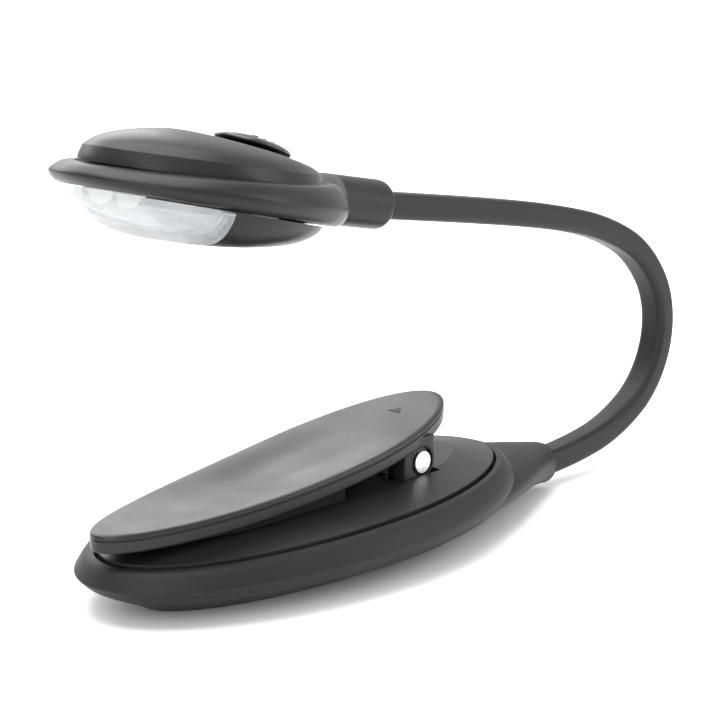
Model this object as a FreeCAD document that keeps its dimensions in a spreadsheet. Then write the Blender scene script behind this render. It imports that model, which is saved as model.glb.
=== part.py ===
"""Clip-on reading lamp: spring clip base, bendable neck and battery LED head.

Row frame, millimetres: the origin is on the table plane under the base, +X towards the neck end of
the base, +Z up. The lamp is symmetric about the plane y = 0.
"""
import FreeCAD
import Part

import math
import os

Vector = FreeCAD.Vector
Rotation = FreeCAD.Rotation
Placement = FreeCAD.Placement
ACROSS = Vector(0, 1, 0)
UP = Vector(0, 0, 1)

# ---------------------------------------------------------------- driving dimensions
SIZES = {
    # base ring: an egg in plan, its tip towards -X
    "base_widest_x": 5.0, "base_front": 39.8, "base_rear": 35.5, "base_half_width": 19.2,
    "ring_top_z": 8.6, "deck_tilt": 2.2, "ring_lip": 2.7, "cover_thick": 2.0, "seam_gap": 0.25,
    "base_wall": 1.6, "hull_rise": 3.6, "hull_low_inset": 5.2, "sole_inset": 9.4,
    "shoulder_drop": 2.5, "shoulder_inset": 2.0, "cover_gap": 0.05,
    # tray set into the ring
    "tray_wall_rise": 0.4, "plateau_rise": 1.4, "bevel_inset": 6.2, "trough_floor": 1.6,
    "trough_spare": 0.9,
    # conical collar of the base, which grips the neck
    "collar_end_x": 53.5, "collar_end_z": 3.75, "collar_end_radius": 3.1, "collar_low_z": 1.9,
    "collar_start_share": 0.66, "collar_bulge": 0.6, "collar_solid": 10.5,
    # clip arm: an egg in plan, curved up towards its thumb end
    "arm_widest_x": 5.6, "arm_front": 40.0, "arm_rear": 23.5, "arm_half_width": 9.5,
    "arm_tip_z": 11.8, "arm_slope": 0.026, "arm_curve": 0.0014, "arm_rim_depth": 2.4,
    "arm_skin": 1.4, "arm_rim_wall": 1.3,
    # hinge of the clip
    "pin_x": 17.6, "pin_height": 1.75, "pin_radius": 1.5, "pin_length": 16.8, "pin_clearance": 0.05,
    "lug_outer_y": 8.3, "lug_thick": 2.0, "lug_front": 3.6, "lug_radius": 2.5, "lug_floor_gap": 0.3,
    "lug_pocket": 0.5, "boss_thick": 2.0, "boss_gap": 0.3, "boss_half_length": 2.3,
    "spring_wire_radius": 0.4, "spring_turns": 5.0, "spring_coil_radius": 2.15,
    "spring_leg_share": 0.85, "spring_lower_leg": 3.0, "spring_upper_leg": 6.5, "spring_leg_rise": 10.0,
    # rubber jaw pad under the arm
    "pad_margin": 0.5, "pad_rear_x": 2.5, "pad_gap": 0.05,
    # bendable neck
    "neck_length": 110.6, "neck_depth": 3.7, "neck_width": 4.4, "neck_corner": 1.1,
    "neck_start_angle": 2.2, "neck_turn": 168.8, "neck_bend_at": 35.4, "neck_bend_spread": 18.25,
    "knuckle_extra": 0.06, "knuckle_gap": 0.2, "core_radius": 0.8, "neck_grip": 6.0,
    "core_setback": 0.4, "ferrule_radius": 1.5, "ferrule_length": 3.5, "grip_clearance": 0.1,
    # lamp head, in its own frame: origin at the collar mouth, nose towards -X
    "head_pitch": 2.4, "head_widest_x": -34.6, "head_front": 20.0, "head_rear": 23.0, "head_half_width": 16.4,
    "head_ring_low": -2.6, "ring_low_tilt": -2.3, "head_ring_top": 1.6, "ring_top_tilt": 2.0,
    "ring_opening_inset": 0.9, "spigot_depth": 0.6,
    "head_collar_radius": 3.4, "head_barrel": 9.6, "barrel_round": 1.1,
    "dome_inset": 3.3, "dome_rear": 19.0, "dome_wall_rise": 1.5, "dome_wall_lean": 0.6, "dome_top_z": 6.6,
    "dome_top_x": -36.5, "dome_slope": 9.75, "dome_skin": 1.3,
    "pod_inset": 2.6, "pod_depth": 6.8, "pod_rear": 17.5, "pod_tilt": 4.5, "lens_rear_x": -41.5,
    "lens_wall": 1.0, "part_gap": 0.15,
    # switch on the dome
    "knob_x": -25.6, "knob_half_length": 5.6, "knob_half_width": 4.9, "knob_thick": 1.5,
    "knob_float": 0.45, "switch_travel": 3.0, "stem_half_length": 1.2, "stem_half_width": 0.8,
    "stem_below": 0.4, "dish_radius": 60.0, "dish_depth": 0.45, "grip_mark_pitch": 1.6,
    "grip_mark_width": 0.4, "grip_mark_half_length": 2.0, "grip_mark_depth": 0.2,
    # electrics in the head
    "cell_radius": 8.0, "cell_thick": 2.0, "cell_x": -30.3, "cell_floor_gap": 1.2,
    "board_thick": 0.8, "contact_radius": 4.0, "contact_thick": 0.3, "reflector_thick": 0.8,
    "led_radius": 1.5, "led_spacing": 5.0, "led_x": -47.9, "led_drop": 2.4,
    "switch_body_half_width": 1.9, "switch_body_gap": 0.45,
    "resistor_x": -43.4, "resistor_length": 2.0, "resistor_width": 1.4, "resistor_height": 0.6,
    # small screws
    "screw_radius": 0.8, "screw_head_radius": 1.5, "screw_head_thick": 0.85, "screw_length": 5.0,
    "screw_slot_width": 0.4, "screw_sink": 0.15, "screw_front_x": -22.5, "screw_rear_x": 23.2,
    "screw_rear_y": 4.5, "post_wall": 1.4,
}
NECK_LINKS = 10

doc = FreeCAD.newDocument("clip_on_reading_lamp")
sheet = doc.addObject("Spreadsheet::Sheet", "Sizes")
for row, (alias, value) in enumerate(SIZES.items(), start=1):
    sheet.set(f"A{row}", alias)
    sheet.set(f"B{row}", str(value))
    sheet.setAlias(f"B{row}", alias)
doc.recompute()
NODES = []


def size(alias):
    """Value of one driving dimension, read from the sheet."""
    return float(sheet.get(alias))


def keep(feature, label):
    """Register a document object as one finished sub-part."""
    feature.Label = label
    NODES.append(feature)
    return feature


def shaped(label, shape, placement=None):
    """Sub-part whose outline is free-form: its shape is set, then placed."""
    feature = doc.addObject("Part::Feature", label)
    feature.Shape = shape.removeSplitter() if len(shape.Solids) == 1 else shape
    if placement is not None:
        feature.Placement = placement
    return keep(feature, label)


def primitive(kind, name, placement=None, **expressions):
    """Part primitive whose properties are bound to cells of the sheet."""
    feature = doc.addObject(f"Part::{kind}", name)
    for prop, expression in expressions.items():
        feature.setExpression(prop, expression)
    if placement is not None:
        feature.Placement = placement
    return feature


def fused(name, *features):
    """Parametric union of primitives."""
    union = doc.addObject("Part::MultiFuse", name)
    union.Shapes = list(features)
    return union


def less(name, base, tool):
    """Parametric difference of two objects."""
    cut = doc.addObject("Part::Cut", name)
    cut.Base = base
    cut.Tool = tool
    return cut


# ---------------------------------------------------------------- outline helpers
def egg(widest_x, front, rear, half_width, height, tilt=0.0):
    """Closed egg outline of two half ellipses; it is turned about the y axis by tilt degrees."""
    centre = Vector(widest_x, 0, height)
    side = Vector(widest_x, half_width, height)
    halves = []
    for reach in (-front, rear):
        tip = Vector(widest_x + reach, 0, height)
        ellipse = Part.Ellipse(tip, side, centre)
        halves.append(Part.Arc(ellipse, -math.pi / 2, math.pi / 2).toShape())
    outline = Part.Wire(Part.__sortEdges__(halves))
    if tilt:
        outline.rotate(Vector(0, 0, height), ACROSS, -tilt)
    return outline


def stack(outlines, ruled=False):
    """Solid lofted through closed outlines."""
    return Part.makeLoft(outlines, True, ruled)


def oval_section(x, half_width, half_height, centre_z):
    """Ellipse across the x axis, for a collar's loft."""
    wide = half_width >= half_height
    side = Vector(x, half_width, centre_z)
    top = Vector(x, 0, centre_z + half_height)
    first, second = (side, top) if wide else (top, side)
    if abs(half_width - half_height) < 1e-6:
        return Part.Wire(Part.Circle(Vector(x, 0, centre_z), Vector(1, 0, 0), half_width).toShape())
    return Part.Wire(Part.Ellipse(first, second, Vector(x, 0, centre_z)).toShape())


def block(x_low, x_high, y_low, y_high, z_low, z_high):
    """Box between two corners."""
    return Part.makeBox(x_high - x_low, y_high - y_low, z_high - z_low, Vector(x_low, y_low, z_low))


def rod(radius, length, start, direction):
    """Round rod from a start point."""
    return Part.makeCylinder(radius, length, start, direction)


def across_rod(radius, half_length, x, z):
    """Rod along y, centred on the plane of symmetry."""
    return rod(radius, 2 * half_length, Vector(x, -half_length, z), ACROSS)


def mirrored_pair(shape):
    """The shape and its mirror image in the plane y = 0."""
    return shape, shape.mirror(Vector(0, 0, 0), ACROSS)


BIG = 200.0


# ---------------------------------------------------------------- base
def base_egg(inset, height, tilt=0.0):
    """Outline of the base, moved in by inset."""
    return egg(size("base_widest_x"), size("base_front") - inset, size("base_rear") - inset,
               size("base_half_width") - inset, height, tilt)


def deck_z(x):
    """Height of the ring's top plane."""
    return size("ring_top_z") + x * math.tan(math.radians(size("deck_tilt")))


def plateau_z(x):
    """Height of the tray's flat top."""
    return deck_z(x) + size("plateau_rise")


def hull(inset):
    """Outlines of the base's rounded side above the bottom cover, moved in by inset."""
    low = size("cover_thick") + size("cover_gap")
    rise = size("hull_rise")
    tuck = size("hull_low_inset")
    return [base_egg(inset + tuck, low), base_egg(inset + tuck * 0.3, low + rise * 0.5),
            base_egg(inset, low + rise, size("deck_tilt") / 2)]


def collar_cone(shrink):
    """Taper from the rear of the ring to the mouth of the collar."""
    end_x = size("collar_end_x")
    end_z = size("collar_end_z")
    end_radius = size("collar_end_radius")
    share = size("collar_start_share")
    start_x = size("base_widest_x") + share * size("base_rear")
    low = size("collar_low_z")
    sunk = 0.3
    start_half = size("base_half_width") * math.sqrt(1 - share ** 2) - sunk
    start_top = deck_z(start_x) - sunk
    middle_top = (start_top + end_z + end_radius) / 2 + size("collar_bulge")
    sections = [
        oval_section(start_x, start_half - shrink, (start_top - low) / 2 - shrink, (start_top + low) / 2),
        oval_section((start_x + end_x) / 2, (start_half + end_radius) / 2 - shrink,
                     (middle_top - low) / 2 - shrink, (middle_top + low) / 2),
        oval_section(end_x, end_radius - shrink, end_radius - shrink, end_z),
    ]
    return stack(sections)


def neck_profile(grow, x, z, angle):
    """Rounded rectangle of the neck's section, set square to a heading given in degrees."""
    half_w = size("neck_width") / 2 + grow
    half_d = size("neck_depth") / 2 + grow
    radius = size("neck_corner") + grow
    corner = radius * (1 - math.sqrt(0.5))
    edges = []
    for sy, sz in ((1, 1), (-1, 1), (-1, -1), (1, -1)):
        flat = Vector(0, sy * (half_w - radius), sz * half_d)
        upright = Vector(0, sy * half_w, sz * (half_d - radius))
        middle = Vector(0, sy * (half_w - corner), sz * (half_d - corner))
        ends = (upright, flat) if sy * sz > 0 else (flat, upright)
        edges.append(Part.Arc(ends[0], middle, ends[1]).toShape())
    sides = []
    for index, edge in enumerate(edges):
        following = edges[(index + 1) % 4]
        sides.append(Part.LineSegment(edge.Vertexes[-1].Point, following.Vertexes[0].Point).toShape())
    outline = Part.Wire(Part.__sortEdges__(edges + sides))
    outline.Placement = Placement(Vector(x, 0, z), Rotation(ACROSS, -angle))
    return outline


def heading(distance):
    """Direction of the neck, in degrees above +X, at a distance along it from the base collar."""
    swing = math.tanh((distance - size("neck_bend_at")) / size("neck_bend_spread"))
    start = math.tanh(-size("neck_bend_at") / size("neck_bend_spread"))
    return size("neck_start_angle") + size("neck_turn") * (swing - start) / (1 - start)


def along(angle, length):
    """Vector of a length at a heading in the plane of symmetry."""
    return Vector(math.cos(math.radians(angle)) * length, 0, math.sin(math.radians(angle)) * length)


def neck_stations():
    """Ends of the links along the neck: a list of points and their headings."""
    step = size("neck_length") / NECK_LINKS
    point = Vector(size("collar_end_x"), 0, size("collar_end_z"))
    stations = [(point, heading(0))]
    for link in range(NECK_LINKS):
        low = heading(link * step)
        high = heading((link + 1) * step)
        turn = math.radians(high - low)
        chord = step * math.sin(turn / 2) / (turn / 2)
        point = point + along((low + high) / 2, chord)
        stations.append((point, high))
    return stations


def arc_between(start, start_angle, end, end_angle):
    """Circular arc that leaves start and meets end at the given headings."""
    half_turn = math.radians(end_angle - start_angle) / 2
    chord = end - start
    rise = chord.Length / 2 * math.tan(half_turn / 2)
    normal = along((start_angle + end_angle) / 2 - 90, rise)
    return Part.Arc(start, start + chord * 0.5 + normal, end).toShape()


STATIONS = neck_stations()
HEAD_AT, HEAD_HEADING = STATIONS[-1]
HEAD_PLACE = Placement(HEAD_AT, Rotation(ACROSS, 180 - HEAD_HEADING + size("head_pitch")))
PIN_Z = plateau_z(size("pin_x")) + size("pin_height")


def grip_bore(point, angle, back):
    """Room for the gripped end of the neck and its ferrule, running back from a collar's mouth."""
    direction = along(angle, back * size("neck_grip"))
    ahead = point + along(angle, -back)
    profile = Part.Face(neck_profile(size("grip_clearance"), ahead.x, ahead.z, angle))
    slot = profile.extrude(direction + along(angle, back))
    ferrule = rod(size("ferrule_radius") + size("grip_clearance"), size("ferrule_length") + 0.4,
                  point + direction, direction)
    return slot.fuse(ferrule)


def screw_places():
    """Plan positions of the screws that hold the bottom cover."""
    rear_x = size("screw_rear_x")
    rear_y = size("screw_rear_y")
    return [(size("screw_front_x"), 0.0), (rear_x, rear_y), (rear_x, -rear_y)]


def make_base():
    """Ring, bottom cover, tray, screws, hinge pin and spring."""
    make_ring()
    make_bottom_cover()
    make_tray()
    for number, (x, y) in enumerate(screw_places(), start=1):
        make_screw(number, x, y)
    pin_place = Placement(Vector(size("pin_x"), -size("pin_length") / 2, PIN_Z),
                          Rotation(Vector(1, 0, 0), -90))
    keep(primitive("Cylinder", "hinge_pin", pin_place, Radius="Sizes.pin_radius",
                   Height="Sizes.pin_length"), "hinge_pin")
    make_spring()


def make_ring():
    """Rounded shell of the base with its collar."""
    tilt = size("deck_tilt")
    top = size("ring_top_z")
    lip = size("ring_lip")
    low = size("cover_thick") + size("cover_gap")
    outer = stack(hull(0) + [base_egg(0.0, top - size("shoulder_drop"), tilt),
                             base_egg(size("shoulder_inset"), top, tilt)], True)
    ring = outer.fuse(collar_cone(0))
    well = stack([base_egg(lip + size("hull_low_inset"), low - 1)] + hull(lip)
                 + [base_egg(lip, top + 8, tilt)], True)
    solid_from = size("collar_end_x") - size("collar_solid")
    throat = collar_cone(size("base_wall")).common(block(0, solid_from, -BIG, BIG, 0, BIG))
    tail = size("base_widest_x") + size("base_rear") - size("hull_low_inset") + size("seam_gap")
    ring = ring.cut(block(-BIG, tail, -BIG, BIG, -BIG, low))
    ring = ring.cut(well).cut(throat)
    ring = ring.cut(grip_bore(STATIONS[0][0], STATIONS[0][1], -1))
    shaped("base_ring", ring)


def make_bottom_cover():
    """Sole plate with seats for its screws."""
    cover = size("cover_thick")
    plate = stack([base_egg(size("sole_inset"), 0), base_egg(size("hull_low_inset"), cover)], True)
    for x, y in screw_places():
        seat = rod(size("screw_head_radius") + size("part_gap"), size("screw_head_thick") + 0.35,
                   Vector(x, y, -0.1), UP)
        hole = rod(size("screw_radius") + size("part_gap"), cover + 1, Vector(x, y, 0), UP)
        plate = plate.cut(seat).cut(hole)
    shaped("base_bottom_cover", plate)


def make_tray():
    """Dished tray of the base with the trough and bosses of the clip's hinge."""
    tilt = size("deck_tilt")
    wall = size("base_wall")
    cover = size("cover_thick")
    rim = size("ring_lip") + size("seam_gap") * 2
    shoulder = size("ring_top_z") + size("tray_wall_rise")
    crest = size("ring_top_z") + size("plateau_rise")
    inset = size("bevel_inset")
    skin = stack(hull(rim) + [base_egg(rim, shoulder, tilt)], True)
    crown = stack([base_egg(rim, shoulder, tilt), base_egg(rim + inset, crest, tilt)], True)
    hollow = stack([base_egg(rim + wall + size("hull_low_inset"), cover - 1)] + hull(rim + wall)
                   + [base_egg(rim + wall, shoulder - wall, tilt)], True)
    roof = stack([base_egg(rim + wall, shoulder - wall, tilt),
                  base_egg(rim + inset + wall, crest - wall, tilt)], True)
    tray = skin.fuse(crown).cut(hollow.fuse(roof))

    pin_x = size("pin_x")
    gap = size("lug_floor_gap")
    floor_z = PIN_Z - size("lug_radius") - gap
    front_x = pin_x - size("lug_front") - 2.5 * gap
    rear_x = pin_x + size("lug_radius") + size("trough_spare")
    side = size("lug_outer_y") + gap
    lining = block(front_x - wall, rear_x + wall, -side - wall, side + wall,
                   floor_z - size("trough_floor"), plateau_z(front_x) - wall / 2)
    tray = tray.fuse(lining).cut(block(front_x, rear_x, -side, side, floor_z, BIG))
    thick = size("boss_thick")
    boss_outer = size("lug_outer_y") - size("lug_thick") - size("boss_gap")
    reach = size("boss_half_length")
    boss = block(pin_x - reach, pin_x + reach, boss_outer - thick, boss_outer,
                 floor_z - size("trough_floor") / 2, PIN_Z)
    boss = boss.fuse(rod(reach, thick, Vector(pin_x, boss_outer, PIN_Z), ACROSS * -1))
    for ear in mirrored_pair(boss):
        tray = tray.fuse(ear)
    tray = tray.cut(across_rod(size("pin_radius"), boss_outer + 1, pin_x, PIN_Z))
    post_low = cover + size("cover_gap")
    for x, y in screw_places():
        post_height = deck_z(x) + size("tray_wall_rise") - post_low
        tray = tray.fuse(rod(size("screw_radius") + size("post_wall"), post_height,
                             Vector(x, y, post_low), UP))
        tray = tray.cut(rod(size("screw_radius"), size("screw_length") + 1, Vector(x, y, 0), UP))
    shaped("base_tray", tray)


def make_screw(number, x, y):
    """Slotted screw of the bottom cover, its head sunk into the sole."""
    name = f"base_screw_{number}"
    sink = size("screw_sink")
    half_slot = size("screw_slot_width") / 2
    head = primitive("Cylinder", f"{name}_head", Placement(Vector(x, y, sink), Rotation()),
                     Radius="Sizes.screw_head_radius", Height="Sizes.screw_head_thick")
    shank = primitive("Cylinder", f"{name}_shank",
                      Placement(Vector(x, y, sink + size("screw_head_thick")), Rotation()),
                      Radius="Sizes.screw_radius", Height="Sizes.screw_length - Sizes.screw_head_thick")
    slot_start = Vector(x - size("screw_head_radius") * 0.75, y - half_slot, sink / 2)
    slot = primitive("Box", f"{name}_slot", Placement(slot_start, Rotation()),
                     Length="Sizes.screw_head_radius * 1.5", Width="Sizes.screw_slot_width",
                     Height="Sizes.screw_head_thick / 2")
    keep(less(name, fused(f"{name}_blank", head, shank), slot), name)


def make_spring():
    """Torsion spring round the pin: a sleeve for its closed coil, and two legs."""
    pin_x = size("pin_x")
    wire = size("spring_wire_radius")
    coil = size("spring_coil_radius")
    half_coil = size("spring_turns") * wire
    leg_radius = size("spring_leg_share") * wire
    leg_side = half_coil - wire
    sleeve = across_rod(coil + wire, half_coil, pin_x, PIN_Z)
    sleeve = sleeve.cut(across_rod(coil - wire, 2 * half_coil, pin_x, PIN_Z))
    lower_start = Vector(pin_x, -leg_side, PIN_Z - coil)
    upper_start = Vector(pin_x, leg_side, PIN_Z + coil)
    lower = rod(leg_radius, size("spring_lower_leg"), lower_start, Vector(1, 0, 0))
    upper = rod(leg_radius, size("spring_upper_leg"), upper_start, along(size("spring_leg_rise"), 1))
    shaped("torsion_spring", sleeve.fuse(lower).fuse(upper))


# ---------------------------------------------------------------- clip arm
def arm_top_z(x):
    """Height of the arm's upper face on the plane of symmetry."""
    run = x - (size("arm_widest_x") - size("arm_front"))
    return size("arm_tip_z") + size("arm_slope") * run + size("arm_curve") * run * run


def arm_slab(drop_top, drop_bottom):
    """Thick curved sheet that follows the arm's upper face between two depths below it."""
    start = size("arm_widest_x") - size("arm_front") - 3
    end = size("arm_widest_x") + size("arm_rear") + 3
    middle = (start + end) / 2
    edges = []
    for drop in (drop_top, drop_bottom):
        points = [Vector(x, -BIG / 4, arm_top_z(x) - drop) for x in (start, middle, end)]
        edges.append(Part.Arc(*points).toShape())
    closing = [Part.LineSegment(edges[0].Vertexes[i].Point, edges[1].Vertexes[i].Point).toShape()
               for i in (0, -1)]
    outline = Part.Wire(Part.__sortEdges__(edges + closing))
    return Part.Face(outline).extrude(Vector(0, BIG / 2, 0))


def arm_column(inset, x_high=BIG):
    """Upright prism of the arm's plan outline, moved in by inset."""
    outline = egg(size("arm_widest_x"), size("arm_front") - inset, size("arm_rear") - inset,
                  size("arm_half_width") - inset, 0)
    column = Part.Face(outline).extrude(Vector(0, 0, 40))
    return column.common(block(-BIG, x_high, -BIG, BIG, -BIG, BIG)) if x_high < BIG else column


def make_arm():
    """Clip arm with its rim and hinge lugs, and the jaw pad under it."""
    depth = size("arm_rim_depth")
    skin = size("arm_skin")
    plate = arm_column(0).common(arm_slab(0, depth))
    plate = plate.cut(arm_column(size("arm_rim_wall")).common(arm_slab(skin, depth + 5)))
    pin_x = size("pin_x")
    inner = size("lug_outer_y") - size("lug_thick")
    radius = size("lug_radius")
    front = size("lug_front")
    roof_z = arm_top_z(pin_x - front) - skin / 2
    lug = block(pin_x - front, pin_x + radius, inner, size("lug_outer_y"), PIN_Z, roof_z)
    lug = lug.fuse(block(pin_x - front, pin_x, inner, size("lug_outer_y"), PIN_Z - radius, PIN_Z))
    lug = lug.fuse(rod(radius, size("lug_thick"), Vector(pin_x, inner, PIN_Z), ACROSS))
    lug = lug.common(arm_slab(skin / 2, 12))
    for ear in mirrored_pair(lug):
        plate = plate.fuse(ear)
    running = size("pin_radius") + size("pin_clearance")
    plate = plate.cut(across_rod(running, size("arm_half_width") + 2, pin_x, PIN_Z))
    pocket_depth = size("lug_pocket")
    recess = rod(running + pocket_depth, 2.0, Vector(pin_x, size("lug_outer_y") - pocket_depth, PIN_Z),
                 ACROSS)
    for pocket in mirrored_pair(recess):
        plate = plate.cut(pocket)
    shaped("clip_arm", plate)

    margin = size("bevel_inset") + size("ring_lip") + 2 * size("seam_gap") + size("pad_margin")
    column = Part.Face(base_egg(margin, 0)).extrude(Vector(0, 0, 40))
    column = column.common(arm_column(size("arm_rim_wall") + size("part_gap")))
    column = column.common(block(-BIG, size("pad_rear_x"), -BIG, BIG, 0, BIG))
    crest = size("ring_top_z") + size("plateau_rise")
    floor = block(-BIG, BIG, -BIG, BIG, -BIG, crest + size("pad_gap"))
    floor.rotate(Vector(0, 0, crest), ACROSS, -size("deck_tilt"))
    pad = column.cut(floor).common(arm_slab(skin, 15))
    shaped("clip_pad", pad)


# ---------------------------------------------------------------- neck
def make_neck():
    """Links of the neck: a sleeve of rounded section round a bendable core wire."""
    knuckle = size("neck_depth") / 2 + size("knuckle_extra")
    socket = knuckle + size("knuckle_gap")
    reach = size("neck_width")
    for link in range(1, NECK_LINKS + 1):
        start, start_angle = STATIONS[link - 1]
        end, end_angle = STATIONS[link]
        arc = arc_between(start, start_angle, end, end_angle)
        profile = neck_profile(0, start.x, start.z, start_angle)
        sleeve = Part.Wire([arc]).makePipeShell([profile], True, True)
        first = link == 1
        last = link == NECK_LINKS
        if first:
            grip = Part.Face(profile).extrude(along(start_angle, -size("neck_grip")))
            sleeve = sleeve.fuse(grip)
        else:
            sleeve = sleeve.cut(across_rod(socket, reach, start.x, start.z))
        closing = neck_profile(0, end.x, end.z, end_angle)
        if last:
            sleeve = sleeve.fuse(Part.Face(closing).extrude(along(end_angle, size("neck_grip"))))
        else:
            nose = Part.Face(closing).extrude(along(end_angle, knuckle + 1))
            sleeve = sleeve.fuse(nose.common(across_rod(knuckle, reach, end.x, end.z)))
        core = core_wire(link, start, start_angle, end, end_angle, socket)
        bore = core_wire(link, start, start_angle, end, end_angle, socket, size("grip_clearance") / 4)
        shaped(f"neck_sleeve_{link:02d}", sleeve.cut(bore))
        shaped(f"neck_core_{link:02d}", core)
    make_ferrule("base_ferrule", STATIONS[0], -1)
    make_ferrule("head_ferrule", STATIONS[-1], 1)


def make_ferrule(name, station, sign):
    """Crimped collar that holds one end of the core wire."""
    point, angle = station
    direction = along(angle, sign)
    grip = size("neck_grip")
    crimp = rod(size("ferrule_radius"), size("ferrule_length"),
                point + direction * (grip + size("cover_gap")), direction)
    wire_room = rod(size("core_radius"), size("ferrule_length") + 1, point + direction * grip, direction)
    shaped(name, crimp.cut(wire_room))


def core_wire(link, start, start_angle, end, end_angle, socket, grow=0.0):
    """Wire inside one link, short of the knuckles at both ends or running into a ferrule."""
    radius = size("core_radius") + grow
    arc = arc_between(start, start_angle, end, end_angle)
    ring = Part.Wire(Part.Circle(start, along(start_angle, 1), radius).toShape())
    wire = Part.Wire([arc]).makePipeShell([ring], True, True)
    margin = socket + size("core_setback") - grow
    tail = size("neck_grip") + size("ferrule_length") - 0.5
    if link == 1:
        wire = wire.fuse(rod(radius, tail, start, along(start_angle, -1)))
    else:
        wire = wire.cut(across_rod(margin, 4, start.x, start.z))
    if link == NECK_LINKS:
        wire = wire.fuse(rod(radius, tail, end, along(end_angle, 1)))
    else:
        wire = wire.cut(across_rod(margin, 4, end.x, end.z))
    return wire


# ---------------------------------------------------------------- lamp head
def head_egg(inset, height, tilt=0.0):
    """Outline of the head ring in the head's frame, moved in by inset."""
    outline = egg(size("head_widest_x"), size("head_front") - inset, size("head_rear") - inset,
                  size("head_half_width") - inset, height)
    if tilt:
        outline.rotate(Vector(size("head_widest_x"), 0, height), ACROSS, -tilt)
    return outline


def head_collar():
    """Taper from the rear of the head ring to the collar that takes the neck."""
    radius = size("head_collar_radius")
    low = size("head_ring_low")
    top = size("head_ring_top")
    share = 0.55
    start_x = size("head_widest_x") + share * size("head_rear")
    half = size("head_half_width") * math.sqrt(1 - share ** 2) - 0.4
    middle = (low + top) / 2
    sections = [
        oval_section(start_x, half, (top - low) / 2 - 0.1, middle),
        oval_section(start_x / 2 - 3, (half + radius) * 0.42, radius - 0.45, middle / 2),
        oval_section(-size("head_barrel"), radius + 0.3, radius + 0.2, 0.0),
        oval_section(2.5 - size("head_barrel"), radius - 0.4, radius - 0.45, 0.0),
    ]
    barrel = rod(radius, size("head_barrel"), Vector(-size("head_barrel"), 0, 0), Vector(1, 0, 0))
    mouth = [edge for edge in barrel.Edges if edge.BoundBox.XMin > -1e-3]
    barrel = barrel.makeFillet(size("barrel_round"), mouth)
    return stack(sections).fuse(barrel)


def dome_egg(inset, height):
    """Outline of the top cover, moved in by inset."""
    ring_inset = size("dome_inset") + inset
    return egg(size("head_widest_x"), size("head_front") - ring_inset, size("dome_rear") - inset,
               size("head_half_width") - ring_inset, height)


def slope_z(x):
    """Height of the sloped rear face of the top cover."""
    return size("dome_top_z") - (x - size("dome_top_x")) * math.tan(math.radians(size("dome_slope")))


def slope_place(x, above=0.0):
    """Placement on the sloped face, its z axis square to the face."""
    turn = Rotation(ACROSS, size("dome_slope"))
    return Placement(Vector(x, 0, slope_z(x)) + turn.multVec(Vector(0, 0, above)), turn)


def above_slope(lift):
    """Everything above the sloped face raised by lift."""
    cutter = block(0, BIG, -BIG, BIG, lift, BIG)
    cutter.Placement = slope_place(size("dome_top_x"))
    return cutter


def dome_solid(shrink):
    """Outer or inner form of the top cover."""
    low = size("head_ring_top") + 0.1
    crease = low + size("dome_wall_rise")
    lean = size("dome_wall_lean")
    span = size("dome_top_z") - shrink - crease
    wall = stack([dome_egg(shrink, low - (1 if shrink else 0)), dome_egg(lean + shrink, crease)], True)
    shares = ((0.0, lean), (0.35, 2.0), (0.65, 4.6), (0.87, 8.0), (1.0, 11.6))
    cap = stack([dome_egg(inset + shrink, crease + share * span) for share, inset in shares])
    return wall.fuse(cap).cut(above_slope(-shrink))


def pod_egg(extra, height, tilt=0.0):
    """Outline of the form below the head ring, moved in by extra."""
    inset = size("pod_inset") + extra
    outline = egg(size("head_widest_x"), size("head_front") - inset, size("pod_rear") - extra,
                  size("head_half_width") - inset, height)
    if tilt:
        outline.rotate(Vector(size("head_widest_x"), 0, height), ACROSS, -tilt)
    return outline


def pod_solid(shrink):
    """Form that hangs below the head ring: the lens at its nose, the battery door behind."""
    top = size("head_ring_low") - size("part_gap")
    reach = size("pod_depth") - shrink + top
    tilt = size("pod_tilt")
    top_tilt = size("ring_low_tilt")
    levels = ((0.0, -1.0, 0.0), (0.35, -0.5, 0.3), (0.75, 0.6, 0.8), (1.0, 2.4, 1.0))
    sections = [pod_egg(shrink + extra, top - share * reach, tilt * lean + top_tilt * (1 - lean))
                for share, extra, lean in levels]
    if shrink:
        sections.insert(0, pod_egg(shrink - 1.0, top + 3, top_tilt))
    return stack(sections)


def make_head():
    """Ring of the head and everything it carries."""
    low = size("head_ring_low")
    top = size("head_ring_top")
    gap = size("part_gap")
    seat = top - size("spigot_depth")
    low_tilt = size("ring_low_tilt")
    top_tilt = size("ring_top_tilt")
    height = top - low
    outer = stack([head_egg(1.2, low, low_tilt), head_egg(0.15, low + 0.28 * height, low_tilt * 0.6),
                   head_egg(0.1, low + 0.55 * height), head_egg(1.7, top, top_tilt)])
    ring = outer.fuse(head_collar())
    opening = size("ring_opening_inset")
    ring = ring.cut(stack([dome_egg(opening, low - 4), dome_egg(opening, seat + 0.01)]))
    ring = ring.cut(stack([dome_egg(-gap, seat), dome_egg(-gap, top + 3)]))
    ring = ring.cut(stack([pod_egg(-1.0 - gap, low - 8, low_tilt), pod_egg(-1.0 - gap, low, low_tilt)]))
    ring = ring.cut(grip_bore(Vector(0, 0, 0), 180 + size("head_pitch"), 1))
    shaped("head_ring", ring, HEAD_PLACE)
    make_top_cover(gap, seat)
    make_knob()
    make_underside(gap)
    make_electrics()


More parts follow.
